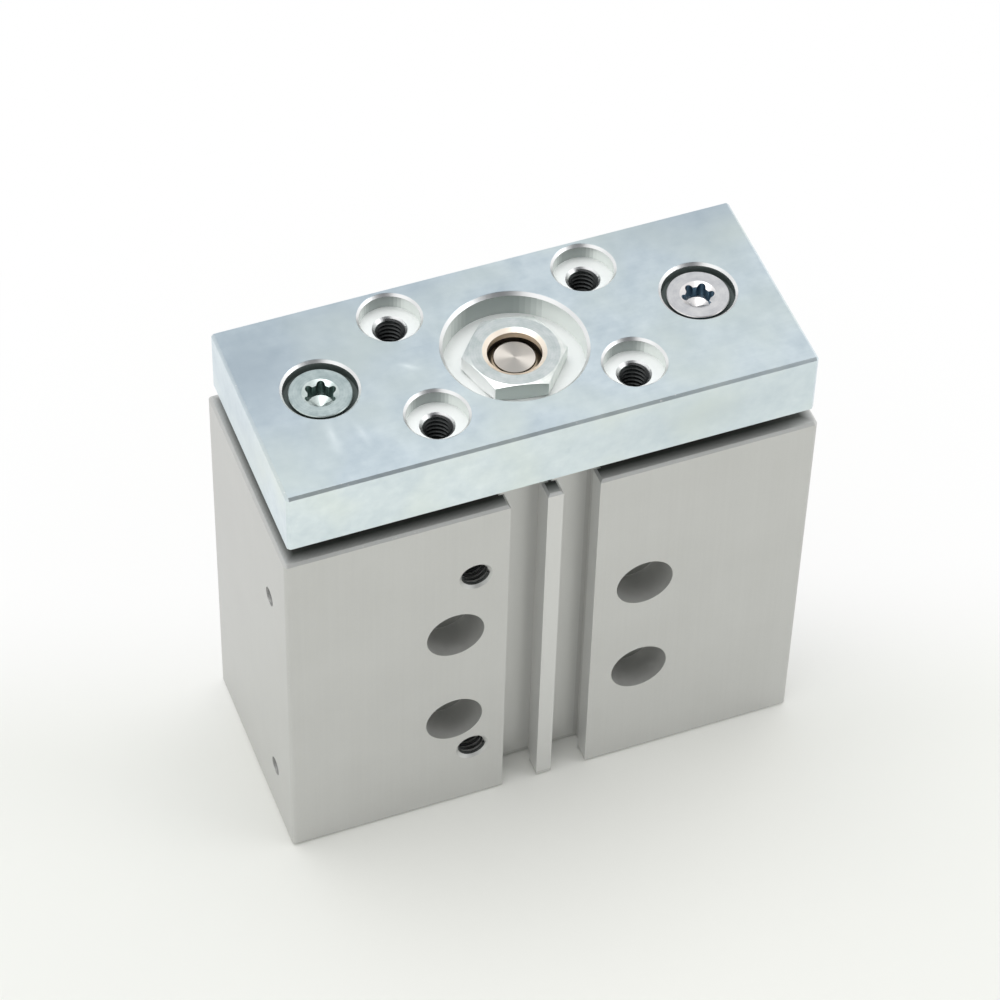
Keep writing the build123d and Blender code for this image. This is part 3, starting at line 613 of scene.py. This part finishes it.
paper = bpy.data.materials.new("white_paper_floor")
paper.use_nodes = True
tree = paper.node_tree
tree.nodes.clear()
coords = addNode(tree, "ShaderNodeTexCoord").outputs["Object"]
grain = addNode(tree, "ShaderNodeTexNoise", settings={
    "Scale": 1 / (floorLook["grain"] * mm), "Detail": floorLook["grainDetail"]}, links={"Vector": coords})
grainBump = addNode(tree, "ShaderNodeBump", settings={
    "Strength": floorLook["grainStrength"], "Distance": floorLook["grainRelief"] * mm}, links={
    "Height": grain.outputs["Fac"]})
lit = addNode(tree, "ShaderNodeBsdfPrincipled", settings={
    "Base Color": floorLook["colour"], "Roughness": floorLook["rough"],
    "Specular IOR Level": floorLook["specular"]}, links={"Normal": grainBump.outputs["Normal"]})
white = addNode(tree, "ShaderNodeEmission", settings={"Color": "#FFFFFF", "Strength": 1.0})
along = addNode(tree, "ShaderNodeVectorMath", operation="DOT_PRODUCT", settings={
    1: floorLook["slope"]}, links={0: coords})
rise = addNode(tree, "ShaderNodeMapRange", interpolation_type="SMOOTHSTEP", settings={
    "From Min": floorLook["start"] * mm, "From Max": floorLook["end"] * mm}, links={
    "Value": along.outputs["Value"]})
away = addNode(tree, "ShaderNodeVectorMath", operation="LENGTH", links={0: coords})
nearness = addNode(tree, "ShaderNodeMapRange", interpolation_type="SMOOTHSTEP", settings={
    "From Min": floorLook["near"] * mm, "From Max": floorLook["far"] * mm,
    "To Min": floorLook["nearShare"]}, links={"Value": away.outputs["Value"]})
share = addNode(tree, "ShaderNodeMath", operation="MULTIPLY", links={
    0: rise.outputs[0], 1: nearness.outputs[0]})
# the white shows to the camera and in reflections, and lights nothing
path = addNode(tree, "ShaderNodeLightPath").outputs
seen = addNode(tree, "ShaderNodeMath", operation="MAXIMUM", links={
    0: path["Is Camera Ray"], 1: path["Is Glossy Ray"]})
shown = addNode(tree, "ShaderNodeMath", operation="MAXIMUM", links={
    0: seen.outputs[0], 1: path["Is Transmission Ray"]})
factor = addNode(tree, "ShaderNodeMath", operation="MULTIPLY", links={
    0: share.outputs[0], 1: shown.outputs[0]})
blend = addNode(tree, "ShaderNodeMixShader", links={
    0: factor.outputs[0], 1: lit.outputs[0], 2: white.outputs[0]})
addNode(tree, "ShaderNodeOutputMaterial", links={"Surface": blend.outputs[0]})
floorMesh.materials.append(paper)
print("floor made")

# Studio: an even pale room with darker and whiter sides, and two soft boxes, placed in metres.
studio = {
    "room": "#F9FAFA", "strength": 1.0,
    "sides": [  # each side fades in between two angles from its direction, in degrees
        {"towards": (0.1, -0.98, 0.15), "from": 80, "to": 35, "colour": "#B4B7B8"},  # unlit end of the room
        {"towards": (0.0, 0.2, 1.0), "from": 60, "to": 20, "colour": "#FAFAFA"},  # ceiling
        {"towards": (-1.0, 0.1, 0.1), "from": 60, "to": 20, "colour": "#E0E2E2"},  # wall on the left
        {"towards": (0.087, 0.825, 0.559), "from": 34, "to": 15, "colour": "#ADB6BD"},  # what the top mirrors
        {"towards": (0.90, -0.30, 0.35), "from": 30, "to": 18, "colour": "#F8F9F9"},  # board on the right
        {"towards": (-0.70, -0.45, 0.60), "from": 30, "to": 18, "colour": "#F8F9F9"},  # board on the left
        {"towards": (0.02, -0.77, 0.62), "from": 24, "to": 16, "colour": "#3A3D42"},  # behind the camera
    ],
    "lamps": [
        {"name": "main_soft_box", "at": (-0.12, 0.12, 1.05), "width": 0.7, "height": 0.7, "power": 3.0},
        {"name": "front_soft_box", "at": (0.95, -0.60, 0.65), "width": 0.6, "height": 0.6, "power": 1.2},
    ],
    "aim": (0.0, 0.0, 0.04),
}
world = bpy.data.worlds.new("studio")
bpy.context.scene.world = world
world.use_nodes = True
tree = world.node_tree
tree.nodes.clear()
direction = addNode(tree, "ShaderNodeTexCoord").outputs["Generated"]
colour = addNode(tree, "ShaderNodeRGB").outputs[0]
colour.default_value = linearColour(studio["room"])
for side in studio["sides"]:
    closeness = addNode(tree, "ShaderNodeVectorMath", operation="DOT_PRODUCT", settings={
        1: Vector(side["towards"]).normalized()}, links={0: direction})
    angle = addNode(tree, "ShaderNodeMath", operation="ARCCOSINE", links={0: closeness.outputs["Value"]})
    fade = addNode(tree, "ShaderNodeMapRange", interpolation_type="SMOOTHSTEP", settings={
        "From Min": radians(side["from"]), "From Max": radians(side["to"])}, links={
        "Value": angle.outputs[0]})
    colour = addNode(tree, "ShaderNodeMix", data_type="RGBA", settings={7: side["colour"]}, links={
        0: fade.outputs[0], 6: colour}).outputs[2]
background = addNode(tree, "ShaderNodeBackground", settings={"Strength": studio["strength"]}, links={
    "Color": colour})
addNode(tree, "ShaderNodeOutputWorld", links={"Surface": background.outputs[0]})

for lamp in studio["lamps"]:
    light = bpy.data.lights.new(lamp["name"], "AREA")
    light.shape = "RECTANGLE"
    light.size = lamp["width"]
    light.size_y = lamp["height"]
    light.energy = lamp["power"]
    holder = bpy.data.objects.new(lamp["name"], light)
    holder.location = lamp["at"]
    holder.rotation_euler = (Vector(studio["aim"]) - Vector(lamp["at"])).to_track_quat("-Z", "Y").to_euler()
    bpy.context.scene.collection.objects.link(holder)
print("studio lit")

# Camera: measured from the photograph's straight edges, its place in metres and its turn in degrees.
view = {
    "at": (-0.14809, -0.36224, 0.49364), "turn": (41.133, -1.160, -20.695), "lens": 143.142, "sensor": 36.0,
    "nearest": 0.01,
}
lens = bpy.data.cameras.new("photo_view")
lens.lens = view["lens"]
lens.sensor_width = view["sensor"]
lens.clip_start = view["nearest"]
camera = bpy.data.objects.new("photo_view", lens)
camera.location = view["at"]
camera.rotation_euler = [radians(angle) for angle in view["turn"]]
bpy.context.scene.collection.objects.link(camera)
bpy.context.scene.camera = camera
bpy.context.scene.view_settings.view_transform = "Standard"
print("camera set")
